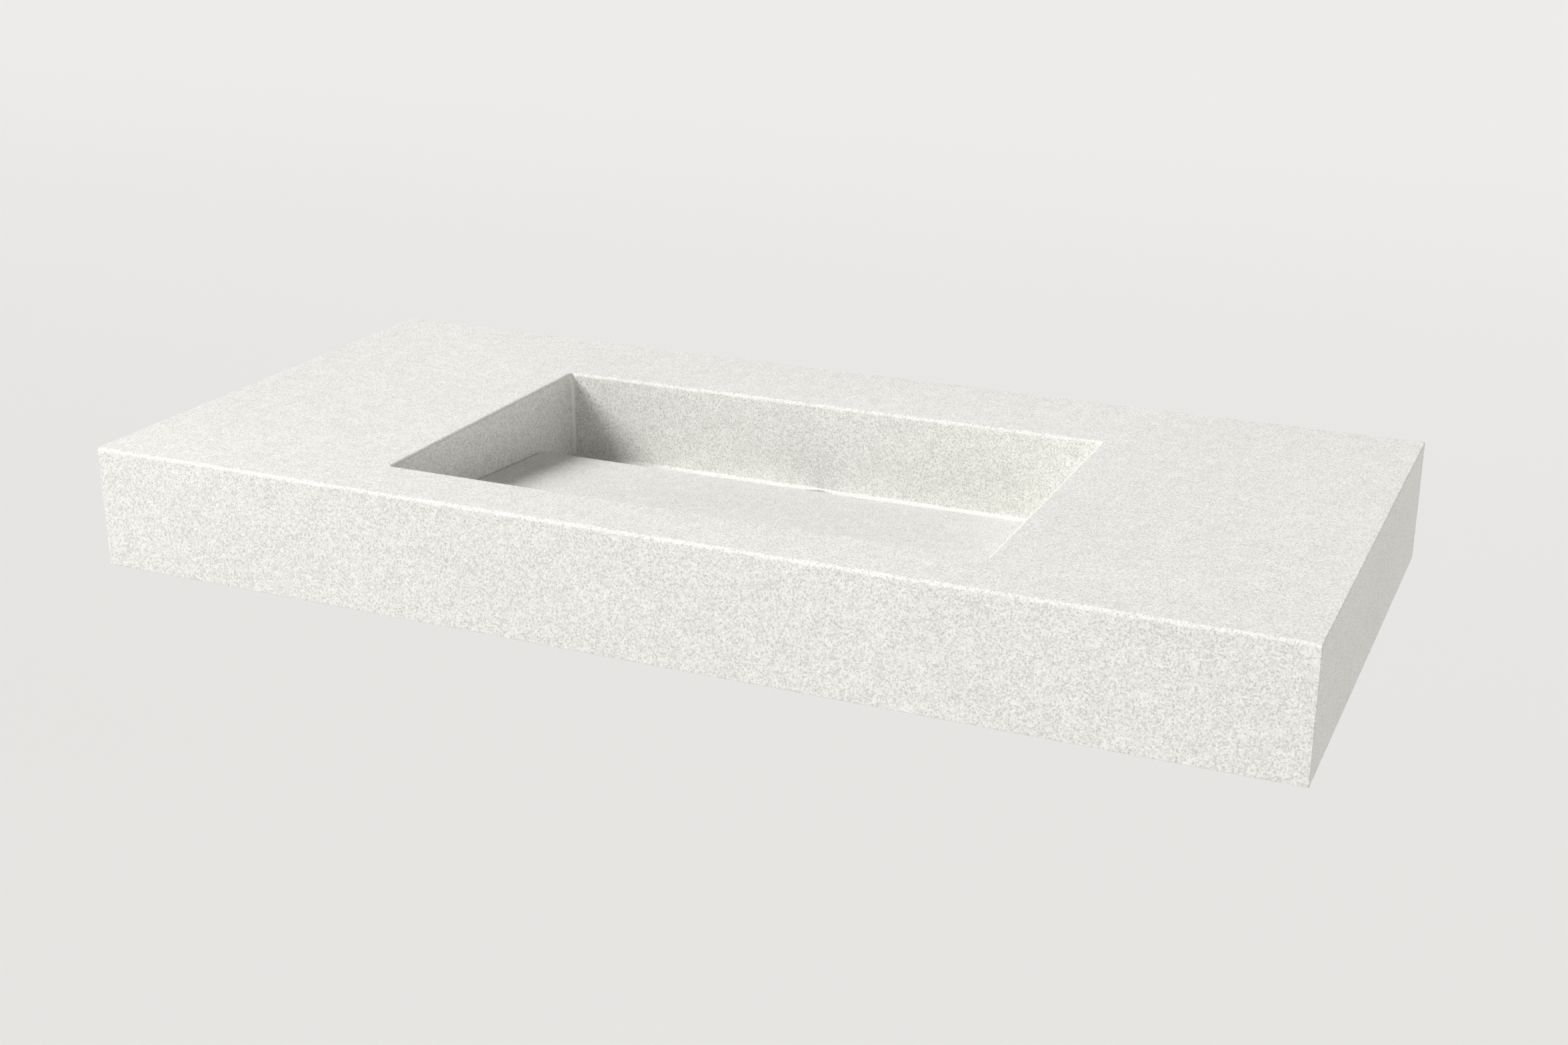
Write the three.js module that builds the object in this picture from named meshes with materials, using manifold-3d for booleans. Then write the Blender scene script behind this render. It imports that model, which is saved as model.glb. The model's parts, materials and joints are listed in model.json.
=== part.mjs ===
// A wall-hung slab washbasin. Engineered-stone slabs are mitred into a shell with a
// rectangular bowl. A lift-out ramp hides the drain trough at the back of the bowl.
// Below are a grid waste, a plywood subframe and two steel wall brackets.
//
// Millimetres, +Z up. The origin is the centre of the back face, which lies on the
// wall. +X is to the right seen from the front, and -Y is towards the user.
import * as THREE from "three";
import { mergeVertices } from "three/addons/utils/BufferGeometryUtils.js";
import Module from "manifold-3d";

const wasm = await Module();
wasm.setup();

// ---- Driving dimensions ----------------------------------------------------------

const WIDTH = 1200;
const DEPTH = 558;
const HEIGHT = 124;
const SLAB = 12; // stone thickness, everywhere
const JOINT = 0.3; // space between two pieces that are bonded or rest on each other
const ARRIS = 4; // radius of the rounded front arris and of the bowl's rim

const BOWL_WIDTH = 605;
const BOWL_LENGTH = 354.5; // front to back
const FRONT_LEDGE = 72.5; // deck in front of the bowl
const TROUGH_DEPTH = 94.5; // rim to the floor of the drain trough
const RAMP_DEPTH_FRONT = 51.5; // rim to the ramp's surface at its front edge
const RAMP_DEPTH_BACK = 70; // rim to the ramp's surface at its back edge
const DRAIN_SLOT = 72; // opening between the ramp and the bowl's back wall
const RAMP_CLEARANCE = 1; // to the bowl's walls, so that the ramp lifts out
const RAMP_CORNER = 6; // plan radius of the ramp's front corners

// ---- Places worked out from them --------------------------------------------------

const TOP = HEIGHT / 2;
const BOTTOM = -HEIGHT / 2;
const FRONT = -DEPTH;
const SIDE = WIDTH / 2;
const UNDER_DECK = TOP - SLAB;

const BOWL_SIDE = BOWL_WIDTH / 2;
const BOWL_FRONT = FRONT + FRONT_LEDGE;
const BOWL_BACK = BOWL_FRONT + BOWL_LENGTH;
const TROUGH_TOP = TOP - TROUGH_DEPTH;
const TROUGH_UNDER = TROUGH_TOP - SLAB;

const RAMP_BACK = BOWL_BACK - DRAIN_SLOT;
const RAMP_RUN = RAMP_BACK - BOWL_FRONT;
const RAMP_FALL = RAMP_DEPTH_BACK - RAMP_DEPTH_FRONT;
const RAMP_TILT = Math.atan2(RAMP_FALL, RAMP_RUN);
const rampSurface = (y) => TOP - RAMP_DEPTH_FRONT - (y - BOWL_FRONT) * Math.tan(RAMP_TILT);
const rampUnderside = (y) => rampSurface(y) - SLAB / Math.cos(RAMP_TILT);

const DRAIN_Y = BOWL_BACK - DRAIN_SLOT / 2;

// ---- Materials ----------------------------------------------------------------------

const material = (color, roughness, metalness = 0) =>
  new THREE.MeshStandardMaterial({ color, roughness, metalness });
const STONE = material(0xe4e3de, 0.55);
const PLYWOOD = material(0xb98f5f, 0.75);
const BRACKET_STEEL = material(0x2b2d30, 0.5, 0.6);
const ZINC = material(0xb7bcc0, 0.35, 0.9);
const CHROME = material(0xd9dcde, 0.12, 1);
const BRASS = material(0xb99a55, 0.3, 1);
const RUBBER = material(0x26272a, 0.8);
const NYLON = material(0xe9e7df, 0.5);

// ---- Solids ---------------------------------------------------------------------------

// A closed three.js geometry as a solid that can be cut and joined.
function solid(geometry) {
  const bare = geometry.index ? geometry.toNonIndexed() : geometry.clone();
  bare.deleteAttribute("normal");
  bare.deleteAttribute("uv");
  const merged = mergeVertices(bare, 1e-4);
  return new wasm.Manifold(
    new wasm.Mesh({
      numProp: 3,
      vertProperties: merged.attributes.position.array,
      triVerts: new Uint32Array(merged.index.array),
    }),
  );
}

function geometryOf(body) {
  const mesh = body.getMesh();
  return new THREE.BufferGeometry()
    .setAttribute("position", new THREE.BufferAttribute(mesh.vertProperties, 3))
    .setIndex(new THREE.BufferAttribute(mesh.triVerts, 1));
}

function block([x0, x1], [y0, y1], [z0, z1]) {
  const box = new THREE.BoxGeometry(x1 - x0, y1 - y0, z1 - z0);
  return solid(box.translate((x0 + x1) / 2, (y0 + y1) / 2, (z0 + z1) / 2));
}

function cylinder(radius, [z0, z1], x = 0, y = 0, sides = 32) {
  const upright = new THREE.CylinderGeometry(radius, radius, z1 - z0, sides).rotateX(Math.PI / 2);
  return solid(upright.translate(x, y, (z0 + z1) / 2));
}

const EXTRUDE = { bevelEnabled: false, curveSegments: 8 };

// A (y, z) outline swept from x0 to x1: local x, y, z become y, z, x.
function sweepX(outline, [x0, x1]) {
  const toX = new THREE.Matrix4().set(0, 0, 1, x0, 1, 0, 0, 0, 0, 1, 0, 0, 0, 0, 0, 1);
  return solid(new THREE.ExtrudeGeometry(outline, { ...EXTRUDE, depth: x1 - x0 }).applyMatrix4(toX));
}

// An (x, z) outline swept from y0 to y1.
function sweepY(outline, [y0, y1]) {
  const swept = new THREE.ExtrudeGeometry(outline, { ...EXTRUDE, depth: y1 - y0 });
  return solid(swept.rotateX(Math.PI / 2).translate(0, y1, 0));
}

// An (x, y) outline swept from z0 to z1.
function sweepZ(outline, [z0, z1]) {
  const swept = new THREE.ExtrudeGeometry(outline, { ...EXTRUDE, depth: z1 - z0 });
  return solid(swept.translate(0, 0, z0));
}

const polygon = (points) => new THREE.Shape(points.map(([u, v]) => new THREE.Vector2(u, v)));

// A closed (radius, height) profile, listed anticlockwise, turned about a vertical axis.
function turned(profile, y, sides = 40) {
  const points = [...profile, profile[0]].map(([r, h]) => new THREE.Vector2(r, h));
  return solid(new THREE.LatheGeometry(points, sides).rotateX(Math.PI / 2).translate(0, y, 0));
}

const ring = (inner, outer, [z0, z1], y) =>
  turned([[inner, z0], [outer, z0], [outer, z1], [inner, z1]], y);

function hexagon(acrossFlats) {
  const corner = acrossFlats / 2 / Math.cos(Math.PI / 6);
  const angles = [0, 1, 2, 3, 4, 5].map((k) => (k * Math.PI) / 3);
  return polygon(angles.map((a) => [corner * Math.cos(a), corner * Math.sin(a)]));
}

// ---- The group -------------------------------------------------------------------------

const basin = new THREE.Group();
basin.name = "slab_washbasin";

function addTo(parent, name, body, finish) {
  const mesh = new THREE.Mesh(geometryOf(body), finish);
  mesh.name = name;
  parent.add(mesh);
  return mesh;
}

// ---- Mitred slabs ------------------------------------------------------------------------

// A face is a plane: its outward normal and its distance from the origin.
const TOP_FACE = { normal: [0, 0, 1], offset: TOP };
const FRONT_FACE = { normal: [0, -1, 0], offset: DEPTH };
const END_FACES = {
  left: { normal: [-1, 0, 0], offset: SIDE },
  right: { normal: [1, 0, 0], offset: SIDE },
};

// Keeps the part of a body that lies within a depth below a face.
const skin = (body, face, depth) => body.trimByPlane(face.normal, face.offset - depth);

// Keeps the part of a body that is nearer to face a than to face b, less half a joint.
function mitre(body, a, b) {
  const across = new THREE.Vector3(...a.normal).sub(new THREE.Vector3(...b.normal));
  const length = across.length();
  const offset = (a.offset - b.offset) / length + JOINT / 2;
  return body.trimByPlane(across.divideScalar(length).toArray(), offset);
}

// The whole block that the shell is cut from, with its rounded front arris.
function outerBlock() {
  const side = new THREE.Shape();
  side.moveTo(FRONT, BOTTOM);
  side.lineTo(0, BOTTOM);
  side.lineTo(0, TOP);
  side.lineTo(FRONT + ARRIS, TOP);
  side.absarc(FRONT + ARRIS, TOP - ARRIS, ARRIS, Math.PI / 2, Math.PI, false);
  side.closePath();
  return sweepX(side, [-SIDE, SIDE]);
}

// The bowl's outline across one direction: straight walls that open out over the rounded rim.
function funnel(from, to) {
  const above = TOP + ARRIS;
  const below = TROUGH_TOP - ARRIS;
  const outline = new THREE.Shape();
  outline.moveTo(from, below);
  outline.lineTo(to, below);
  outline.lineTo(to, TOP - ARRIS);
  outline.absarc(to + ARRIS, TOP - ARRIS, ARRIS, Math.PI, Math.PI / 2, true);
  outline.lineTo(to + ARRIS, above);
  outline.lineTo(from - ARRIS, above);
  outline.lineTo(from - ARRIS, TOP);
  outline.absarc(from - ARRIS, TOP - ARRIS, ARRIS, Math.PI / 2, 0, true);
  outline.closePath();
  return outline;
}

function bowlSpace() {
  const across = sweepY(funnel(-BOWL_SIDE, BOWL_SIDE), [BOWL_FRONT - ARRIS, BOWL_BACK + ARRIS]);
  const along = sweepX(funnel(BOWL_FRONT, BOWL_BACK), [-BOWL_SIDE - ARRIS, BOWL_SIDE + ARRIS]);
  return across.intersect(along);
}

// The bowl's four faces, with normals that point into the stone behind them.
const BOWL_FACES = {
  left: { normal: [-1, 0, 0], offset: BOWL_SIDE },
  right: { normal: [1, 0, 0], offset: BOWL_SIDE },
  front: { normal: [0, -1, 0], offset: -BOWL_FRONT },
  back: { normal: [0, 1, 0], offset: BOWL_BACK },
};
const BOWL_NEIGHBOURS = {
  left: ["front", "back"],
  right: ["front", "back"],
  front: ["left", "right"],
  back: ["left", "right"],
};

const wholeBlock = outerBlock();
const bowl = bowlSpace();

function topDeck() {
  let deck = skin(wholeBlock, TOP_FACE, SLAB);
  for (const face of [FRONT_FACE, END_FACES.left, END_FACES.right]) {
    deck = mitre(deck, TOP_FACE, face);
  }
  // The cut-out widens downwards at 45 degrees, to take the mitred tops of the bowl's walls.
  const wide = SLAB + JOINT;
  let cutOut = block(
    [-BOWL_SIDE - wide, BOWL_SIDE + wide],
    [BOWL_FRONT - wide, BOWL_BACK + wide],
    [UNDER_DECK - SLAB, TOP + SLAB],
  );
  for (const { normal, offset } of Object.values(BOWL_FACES)) {
    const inwards = normal.map((n, k) => (-n - (k === 2 ? 1 : 0)) / Math.SQRT2);
    cutOut = cutOut.trimByPlane(inwards, (-offset - TOP) / Math.SQRT2 - JOINT / 2);
  }
  return deck.subtract(cutOut).subtract(bowl);
}

function frontApron() {
  let apron = skin(wholeBlock, FRONT_FACE, SLAB);
  for (const face of [TOP_FACE, END_FACES.left, END_FACES.right]) {
    apron = mitre(apron, FRONT_FACE, face);
  }
  return apron;
}

function endPanel(side) {
  let panel = skin(wholeBlock, END_FACES[side], SLAB);
  for (const face of [TOP_FACE, FRONT_FACE]) panel = mitre(panel, END_FACES[side], face);
  return panel;
}

// A bowl wall stands on the trough slab. Its ends and its top are mitred.
function bowlWall(side) {
  const face = BOWL_FACES[side];
  const reach = BOWL_SIDE + SLAB;
  const depth = [BOWL_FRONT - SLAB, BOWL_BACK + SLAB];
  let wall = block([-reach, reach], depth, [TROUGH_TOP + JOINT, TOP]);
  wall = wall.trimByPlane(face.normal, face.offset);
  for (const neighbour of BOWL_NEIGHBOURS[side]) wall = mitre(wall, face, BOWL_FACES[neighbour]);
  const underMitre = face.normal.map((n, k) => (-n - (k === 2 ? 1 : 0)) / Math.SQRT2);
  wall = wall.trimByPlane(underMitre, (-face.offset - TOP) / Math.SQRT2 + JOINT / 2);
  return wall.subtract(bowl);
}

// ---- Back panel, trough slab and ramp -------------------------------------------------------

const PLATE_WIDTH = 60; // a bracket's wall plate
const PLATE_TOP = 44;
const PLATE_BOTTOM = -56;
const PLATE_FIT = 0.5; // space round the plate in the back panel's notch
const BEARER = 18; // plywood thickness
const BEARER_INNER = BOWL_SIDE + SLAB + JOINT; // near face of the bearer beside the bowl
const BEARER_OUTER = SIDE - SLAB - JOINT; // far face of the bearer beside the end panel
const RAIL_FROM = BEARER_INNER + BEARER + JOINT;
const RAIL_TO = BEARER_OUTER - BEARER - JOINT;
const BRACKET_X = (RAIL_FROM + RAIL_TO) / 2;

function backPanel() {
  const inside = SIDE - SLAB - JOINT;
  let panel = block([-inside, inside], [-SLAB, 0], [BOTTOM, UNDER_DECK - JOINT]);
  const notch = PLATE_WIDTH / 2 + PLATE_FIT;
  for (const x of [-BRACKET_X, BRACKET_X]) {
    const around = [x - notch, x + notch];
    panel = panel.subtract(block(around, [-2 * SLAB, SLAB], [2 * BOTTOM, PLATE_TOP + PLATE_FIT]));
  }
  return panel;
}

const DRAIN_HOLE = 23; // radius
const FLANGE_RECESS = 34; // radius
const FLANGE_RECESS_DEPTH = 3;

function troughSlab() {
  const slab = block(
    [-BOWL_SIDE - SLAB, BOWL_SIDE + SLAB],
    [BOWL_FRONT - SLAB, BOWL_BACK + SLAB],
    [TROUGH_UNDER, TROUGH_TOP],
  );
  const through = cylinder(DRAIN_HOLE, [TROUGH_UNDER - 1, TROUGH_TOP + 1], 0, DRAIN_Y, 40);
  const recessSpan = [TROUGH_TOP - FLANGE_RECESS_DEPTH, TROUGH_TOP + 1];
  const recess = cylinder(FLANGE_RECESS, recessSpan, 0, DRAIN_Y, 40);
  return slab.subtract(through).subtract(recess);
}

// The ramp's local frame has its origin at the front edge of its top surface, x across
// and y down the slope. The group below tilts it into place.
const RAMP_EDGE = 1; // chamfer along the ramp's back edge
const RAMP_LENGTH = (RAMP_RUN - RAMP_CLEARANCE) / Math.cos(RAMP_TILT);
const RAMP_HALF = BOWL_SIDE - RAMP_CLEARANCE;

function rampSlab() {
  const plan = new THREE.Shape();
  plan.moveTo(-RAMP_HALF, RAMP_LENGTH);
  plan.lineTo(-RAMP_HALF, RAMP_CORNER);
  plan.absarc(-RAMP_HALF + RAMP_CORNER, RAMP_CORNER, RAMP_CORNER, Math.PI, Math.PI * 1.5, false);
  plan.absarc(RAMP_HALF - RAMP_CORNER, RAMP_CORNER, RAMP_CORNER, Math.PI * 1.5, Math.PI * 2, false);
  plan.lineTo(RAMP_HALF, RAMP_LENGTH);
  plan.closePath();
  const chamfer = (RAMP_LENGTH - RAMP_EDGE) / Math.SQRT2;
  return sweepZ(plan, [-SLAB, 0]).trimByPlane([0, -Math.SQRT1_2, -Math.SQRT1_2], -chamfer);
}

// ---- What the ramp rests on -------------------------------------------------------------------

const REST_WIDTH = 16;
const BUMPER = { radius: 6, height: 2 };
const REST_FRONT = BOWL_FRONT + 26; // leaves the front corners open to drain
const REST_BACK = RAMP_BACK - 12;
const BUMPER_INSET = 30; // from each end of a rest
const restTop = (y) => rampUnderside(y) - BUMPER.height - 2 * JOINT;

// A tapered strip bonded to a side wall and to the trough slab.
function sideRest(sign) {
  const outline = polygon([
    [REST_FRONT, TROUGH_TOP + JOINT],
    [REST_BACK, TROUGH_TOP + JOINT],
    [REST_BACK, restTop(REST_BACK)],
    [REST_FRONT, restTop(REST_FRONT)],
  ]);
  const near = BOWL_SIDE - JOINT - REST_WIDTH;
  const far = BOWL_SIDE - JOINT;
  return sweepX(outline, sign > 0 ? [near, far] : [-far, -near]);
}

// A short strip under the middle of the ramp's front edge.
const FRONT_REST = { halfLength: 150, from: BOWL_FRONT + JOINT, to: BOWL_FRONT + 16 };

function frontRest() {
  const { from, to, halfLength } = FRONT_REST;
  const outline = polygon([
    [from, TROUGH_TOP + JOINT],
    [to, TROUGH_TOP + JOINT],
    [to, restTop(to)],
    [from, restTop(from)],
  ]);
  return sweepX(outline, [-halfLength, halfLength]);
}

// ---- Waste -------------------------------------------------------------------------------------

const RECESS_FLOOR = TROUGH_TOP - FLANGE_RECESS_DEPTH;
const BODY_RADIUS = 21; // outside of the threaded body
const BODY_BORE = 18;
const BODY_END = -80;
const SEAL_TOP = RECESS_FLOOR + JOINT + 1;
const FLANGE_UNDER = SEAL_TOP + JOINT;
const FLANGE_TOP = FLANGE_UNDER + 2.4;
const FLANGE_RADIUS = 32;
const STRAINER_SEAT = FLANGE_TOP - 1.2;
const STRAINER_RADIUS = 25.6;

function wasteBody() {
  const seat = STRAINER_RADIUS + 0.4;
  return turned(
    [
      [BODY_BORE, BODY_END],
      [BODY_RADIUS, BODY_END],
      [BODY_RADIUS, FLANGE_UNDER],
      [FLANGE_RADIUS, FLANGE_UNDER],
      [FLANGE_RADIUS, FLANGE_TOP - 1.2],
      [FLANGE_RADIUS - 1, FLANGE_TOP - 0.3],
      [FLANGE_RADIUS - 2.5, FLANGE_TOP],
      [seat, FLANGE_TOP],
      [seat, STRAINER_SEAT],
      [BODY_BORE, STRAINER_SEAT],
    ],
    DRAIN_Y,
    48,
  );
}

// A perforated disc with a locating collar below it and a small knob to lift it by.
function strainer() {
  const under = STRAINER_SEAT + JOINT;
  const top = under + 1.4;
  const collar = BODY_BORE - 0.6;
  let body = turned(
    [
      [0, under],
      [collar - 1.6, under],
      [collar - 1.6, under - 8],
      [collar, under - 8],
      [collar, under],
      [STRAINER_RADIUS, under],
      [STRAINER_RADIUS, top - 0.4],
      [STRAINER_RADIUS - 0.6, top],
      [0, top],
    ],
    DRAIN_Y,
    48,
  );
  const holeRings = [
    { count: 6, at: 7.4 },
    { count: 12, at: 12.6 },
  ];
  for (const { count, at } of holeRings) {
    for (let k = 0; k < count; k += 1) {
      const angle = (2 * Math.PI * k) / count;
      const [x, y] = [at * Math.cos(angle), DRAIN_Y + at * Math.sin(angle)];
      body = body.subtract(cylinder(2.1, [under - 1, top + 1], x, y, 12));
    }
  }
  const knob = [
    [0, top - 0.5],
    [2, top - 0.5],
    [2, top + 2],
    [3.2, top + 3],
    [3.2, top + 5],
    [0, top + 5],
  ];
  return body.add(turned(knob, DRAIN_Y, 20));
}

const LOWER_SEAL = [TROUGH_UNDER - JOINT - 4, TROUGH_UNDER - JOINT];
const SLIP_WASHER = [LOWER_SEAL[0] - JOINT - 1, LOWER_SEAL[0] - JOINT];
const BACKNUT = [SLIP_WASHER[0] - JOINT - 8, SLIP_WASHER[0] - JOINT];
const THREAD_GAP = 0.4;

function nut(acrossFlats, bore, span) {
  const outline = hexagon(acrossFlats);
  const hole = new THREE.Path();
  hole.absarc(0, 0, bore, 0, 2 * Math.PI, true);
  outline.holes.push(hole);
  return sweepZ(outline, span).translate([0, DRAIN_Y, 0]);
}

const TAIL_RADIUS = 16;
const TAIL_BORE = 14.5;
const TAIL_END = -150;
const TAIL_COLLAR_TOP = BODY_END + 14;

function tailpiece() {
  const collar = BODY_BORE - THREAD_GAP;
  return turned(
    [
      [TAIL_BORE, TAIL_END],
      [TAIL_RADIUS, TAIL_END],
      [TAIL_RADIUS, BODY_END],
      [collar, BODY_END],
      [collar, TAIL_COLLAR_TOP],
      [TAIL_BORE, TAIL_COLLAR_TOP],
    ],
    DRAIN_Y,
  );
}

// ---- Subframe and brackets -------------------------------------------------------------------------

const BEARER_BOTTOM = -10;
const BEARER_SPAN = [BEARER_BOTTOM, UNDER_DECK - JOINT];
const INSIDE_FRONT = FRONT + SLAB + JOINT;
const INSIDE_BACK = -SLAB - JOINT;
const RAIL_ROWS = { front: -470, rear: -140 }; // the cross rails' middles
const PAD = [BEARER_BOTTOM - JOINT - 2, BEARER_BOTTOM - JOINT];
const ARM_TOP = PAD[0] - JOINT;
const ARM = { width: 40, thickness: 5, length: 500 };
const WEB = { thickness: 5, aside: 4, depthAtWall: 36, depthAtTip: 14 };
const PLATE_THICKNESS = 6;
const ARM_UNDER = ARM_TOP - ARM.thickness;
const SCREW = { radius: 4, acrossFlats: 13, headHeight: 5, bite: 34, aside: 10 };
const SCREW_X = BRACKET_X + SCREW.aside;
const WASHER = { radius: 9, height: 1.6 };
const WASHER_SPAN = [ARM_UNDER - JOINT - WASHER.height, ARM_UNDER - JOINT];
const HEAD = [WASHER_SPAN[0] - JOINT - SCREW.headHeight, WASHER_SPAN[0] - JOINT];

const screwHole = (x, y, extra) =>
  cylinder(SCREW.radius + extra, [HEAD[0] - 1, BEARER_BOTTOM + SCREW.bite + 1], x, y, 20);

function bearer([x0, x1]) {
  return block([x0, x1], [INSIDE_FRONT, INSIDE_BACK], BEARER_SPAN);
}

function crossRail(sign, y) {
  const xs = sign > 0 ? [RAIL_FROM, RAIL_TO] : [-RAIL_TO, -RAIL_FROM];
  const rail = block(xs, [y - BEARER / 2, y + BEARER / 2], BEARER_SPAN);
  return rail.subtract(screwHole(sign * SCREW_X, y, JOINT));
}

function armPad(sign) {
  const x = sign * BRACKET_X;
  let pad = block([x - ARM.width / 2, x + ARM.width / 2], [-ARM.length, INSIDE_BACK], PAD);
  for (const y of Object.values(RAIL_ROWS)) pad = pad.subtract(screwHole(sign * SCREW_X, y, 0.5));
  return pad;
}

// Each bracket is three steel plates, welded together: a wall plate, an arm and a web.
const PLATE_HOLES = { radius: 5.5, aside: 18, heights: [-42, 28] };

function wallPlate(sign) {
  const x = sign * BRACKET_X;
  const half = PLATE_WIDTH / 2;
  let plate = block([x - half, x + half], [-PLATE_THICKNESS, 0], [PLATE_BOTTOM, PLATE_TOP]);
  const { radius, aside, heights } = PLATE_HOLES;
  for (const dx of [-aside, aside]) {
    for (const z of heights) {
      const hole = new THREE.CylinderGeometry(radius, radius, 3 * PLATE_THICKNESS, 24);
      plate = plate.subtract(solid(hole.translate(x + dx, 0, z)));
    }
  }
  return plate;
}

const ARM_BACK = -PLATE_THICKNESS - JOINT;

function bracketArm(sign) {
  const x = sign * BRACKET_X;
  const across = [x - ARM.width / 2, x + ARM.width / 2];
  let arm = block(across, [-ARM.length, ARM_BACK], [ARM_UNDER, ARM_TOP]);
  for (const y of Object.values(RAIL_ROWS)) arm = arm.subtract(screwHole(sign * SCREW_X, y, 0.5));
  return arm;
}

// The web stands to one side of the screws, so that a socket reaches their heads.
function bracketWeb(sign) {
  const x = sign * (BRACKET_X - WEB.aside);
  const top = ARM_UNDER - JOINT;
  const outline = polygon([
    [ARM_BACK, top - WEB.depthAtWall],
    [ARM_BACK, top],
    [-ARM.length, top],
    [-ARM.length, top - WEB.depthAtTip],
  ]);
  return sweepX(outline, [x - WEB.thickness / 2, x + WEB.thickness / 2]);
}

function screw(x, y) {
  const head = sweepZ(hexagon(SCREW.acrossFlats), HEAD).translate([x, y, 0]);
  return head.add(cylinder(SCREW.radius, [HEAD[1] - 1, BEARER_BOTTOM + SCREW.bite], x, y, 20));
}

function washer(x, y) {
  return cylinder(WASHER.radius, WASHER_SPAN, x, y, 28).subtract(screwHole(x, y, 0.4));
}

// ---- Assembly ------------------------------------------------------------------------------------------

addTo(basin, "top_deck", topDeck(), STONE);
addTo(basin, "front_apron", frontApron(), STONE);
for (const side of ["left", "right"]) addTo(basin, `${side}_end_panel`, endPanel(side), STONE);
addTo(basin, "back_panel", backPanel(), STONE);
for (const side of ["front", "back", "left", "right"]) {
  addTo(basin, `bowl_${side}_wall`, bowlWall(side), STONE);
}
addTo(basin, "trough_slab", troughSlab(), STONE);

const rampGroup = new THREE.Group();
const frontEdge = BOWL_FRONT + RAMP_CLEARANCE;
rampGroup.position.set(0, frontEdge, rampSurface(frontEdge));
rampGroup.rotation.x = -RAMP_TILT;
addTo(rampGroup, "ramp", rampSlab(), STONE);
basin.add(rampGroup);

addTo(basin, "ramp_rest_front", frontRest(), STONE);
for (const [side, sign] of [["left", -1], ["right", 1]]) {
  addTo(basin, `ramp_rest_${side}`, sideRest(sign), STONE);
  const rows = { front: REST_FRONT + BUMPER_INSET, back: REST_BACK - BUMPER_INSET };
  for (const [row, y] of Object.entries(rows)) {
    const disc = cylinder(BUMPER.radius, [-BUMPER.height / 2, BUMPER.height / 2], 0, 0, 24);
    const bumper = addTo(basin, `ramp_bumper_${side}_${row}`, disc, RUBBER);
    const middle = (restTop(y) + rampUnderside(y)) / 2;
    bumper.position.set(sign * (BOWL_SIDE - JOINT - REST_WIDTH / 2), y, middle);
    bumper.rotation.x = -RAMP_TILT;
  }
}

const FLANGE_SEAL = [RECESS_FLOOR + JOINT, SEAL_TOP];
const TAIL_SEAL = [TAIL_COLLAR_TOP + JOINT, TAIL_COLLAR_TOP + JOINT + 2];
const LOCKNUT = [BODY_END - JOINT - 8, BODY_END - JOINT];
const seal = (inner, outer, span) => ring(inner, outer, span, DRAIN_Y);
const OVER_THREAD = BODY_RADIUS + THREAD_GAP;

addTo(basin, "waste_body", wasteBody(), CHROME);
addTo(basin, "strainer", strainer(), CHROME);
addTo(basin, "flange_seal", seal(BODY_RADIUS + 1.5, FLANGE_RADIUS - 1, FLANGE_SEAL), RUBBER);
addTo(basin, "lower_seal", seal(OVER_THREAD, FLANGE_RADIUS, LOWER_SEAL), RUBBER);
addTo(basin, "slip_washer", seal(OVER_THREAD, FLANGE_RADIUS - 1, SLIP_WASHER), NYLON);
addTo(basin, "backnut", nut(60, OVER_THREAD, BACKNUT), BRASS);
addTo(basin, "tailpiece", tailpiece(), CHROME);
addTo(basin, "tailpiece_seal", seal(TAIL_BORE + 0.5, BODY_BORE - THREAD_GAP, TAIL_SEAL), RUBBER);
addTo(basin, "tailpiece_locknut", nut(46, TAIL_RADIUS + THREAD_GAP, LOCKNUT), CHROME);

for (const [side, sign] of [["left", -1], ["right", 1]]) {
  const span = (a, b) => (sign > 0 ? [a, b] : [-b, -a]);
  const inner = span(BEARER_INNER, BEARER_INNER + BEARER);
  const outer = span(BEARER_OUTER - BEARER, BEARER_OUTER);
  addTo(basin, `bearer_${side}_inner`, bearer(inner), PLYWOOD);
  addTo(basin, `bearer_${side}_outer`, bearer(outer), PLYWOOD);
  addTo(basin, `arm_pad_${side}`, armPad(sign), RUBBER);
  addTo(basin, `wall_plate_${side}`, wallPlate(sign), BRACKET_STEEL);
  addTo(basin, `bracket_arm_${side}`, bracketArm(sign), BRACKET_STEEL);
  addTo(basin, `bracket_web_${side}`, bracketWeb(sign), BRACKET_STEEL);
  for (const [row, y] of Object.entries(RAIL_ROWS)) {
    addTo(basin, `cross_rail_${side}_${row}`, crossRail(sign, y), PLYWOOD);
    addTo(basin, `bracket_screw_${side}_${row}`, screw(sign * SCREW_X, y), ZINC);
    addTo(basin, `bracket_washer_${side}_${row}`, washer(sign * SCREW_X, y), ZINC);
  }
}

// Stiffeners behind the bowl's long walls, between the two inner bearers.
const STIFFENER_HALF = BEARER_INNER - JOINT;
const behindFront = BOWL_FRONT - SLAB - JOINT;
const behindBack = BOWL_BACK + SLAB + JOINT;
const stiffener = (y0) => block([-STIFFENER_HALF, STIFFENER_HALF], [y0, y0 + BEARER], BEARER_SPAN);
addTo(basin, "front_stiffener", stiffener(behindFront - BEARER), PLYWOOD);
addTo(basin, "rear_stiffener", stiffener(behindBack), PLYWOOD);

export default basin;
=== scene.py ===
"""Looks of a wall-hung slab washbasin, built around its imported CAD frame. Metres, +Z up.

The stone shell and the ramp are rebuilt with eased edges and with no gaps at the glued mitres.
The waste, the bumpers, the screws and the brackets' plates and arms are rebuilt with fine edges,
a thread and welds. The plywood frame, the brackets' webs and pads, the back panel and the ramp's
rests keep their CAD shape and get bevels and materials.
"""

import json
import math

import bmesh
import bpy
from mathutils import Matrix, Vector


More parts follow.
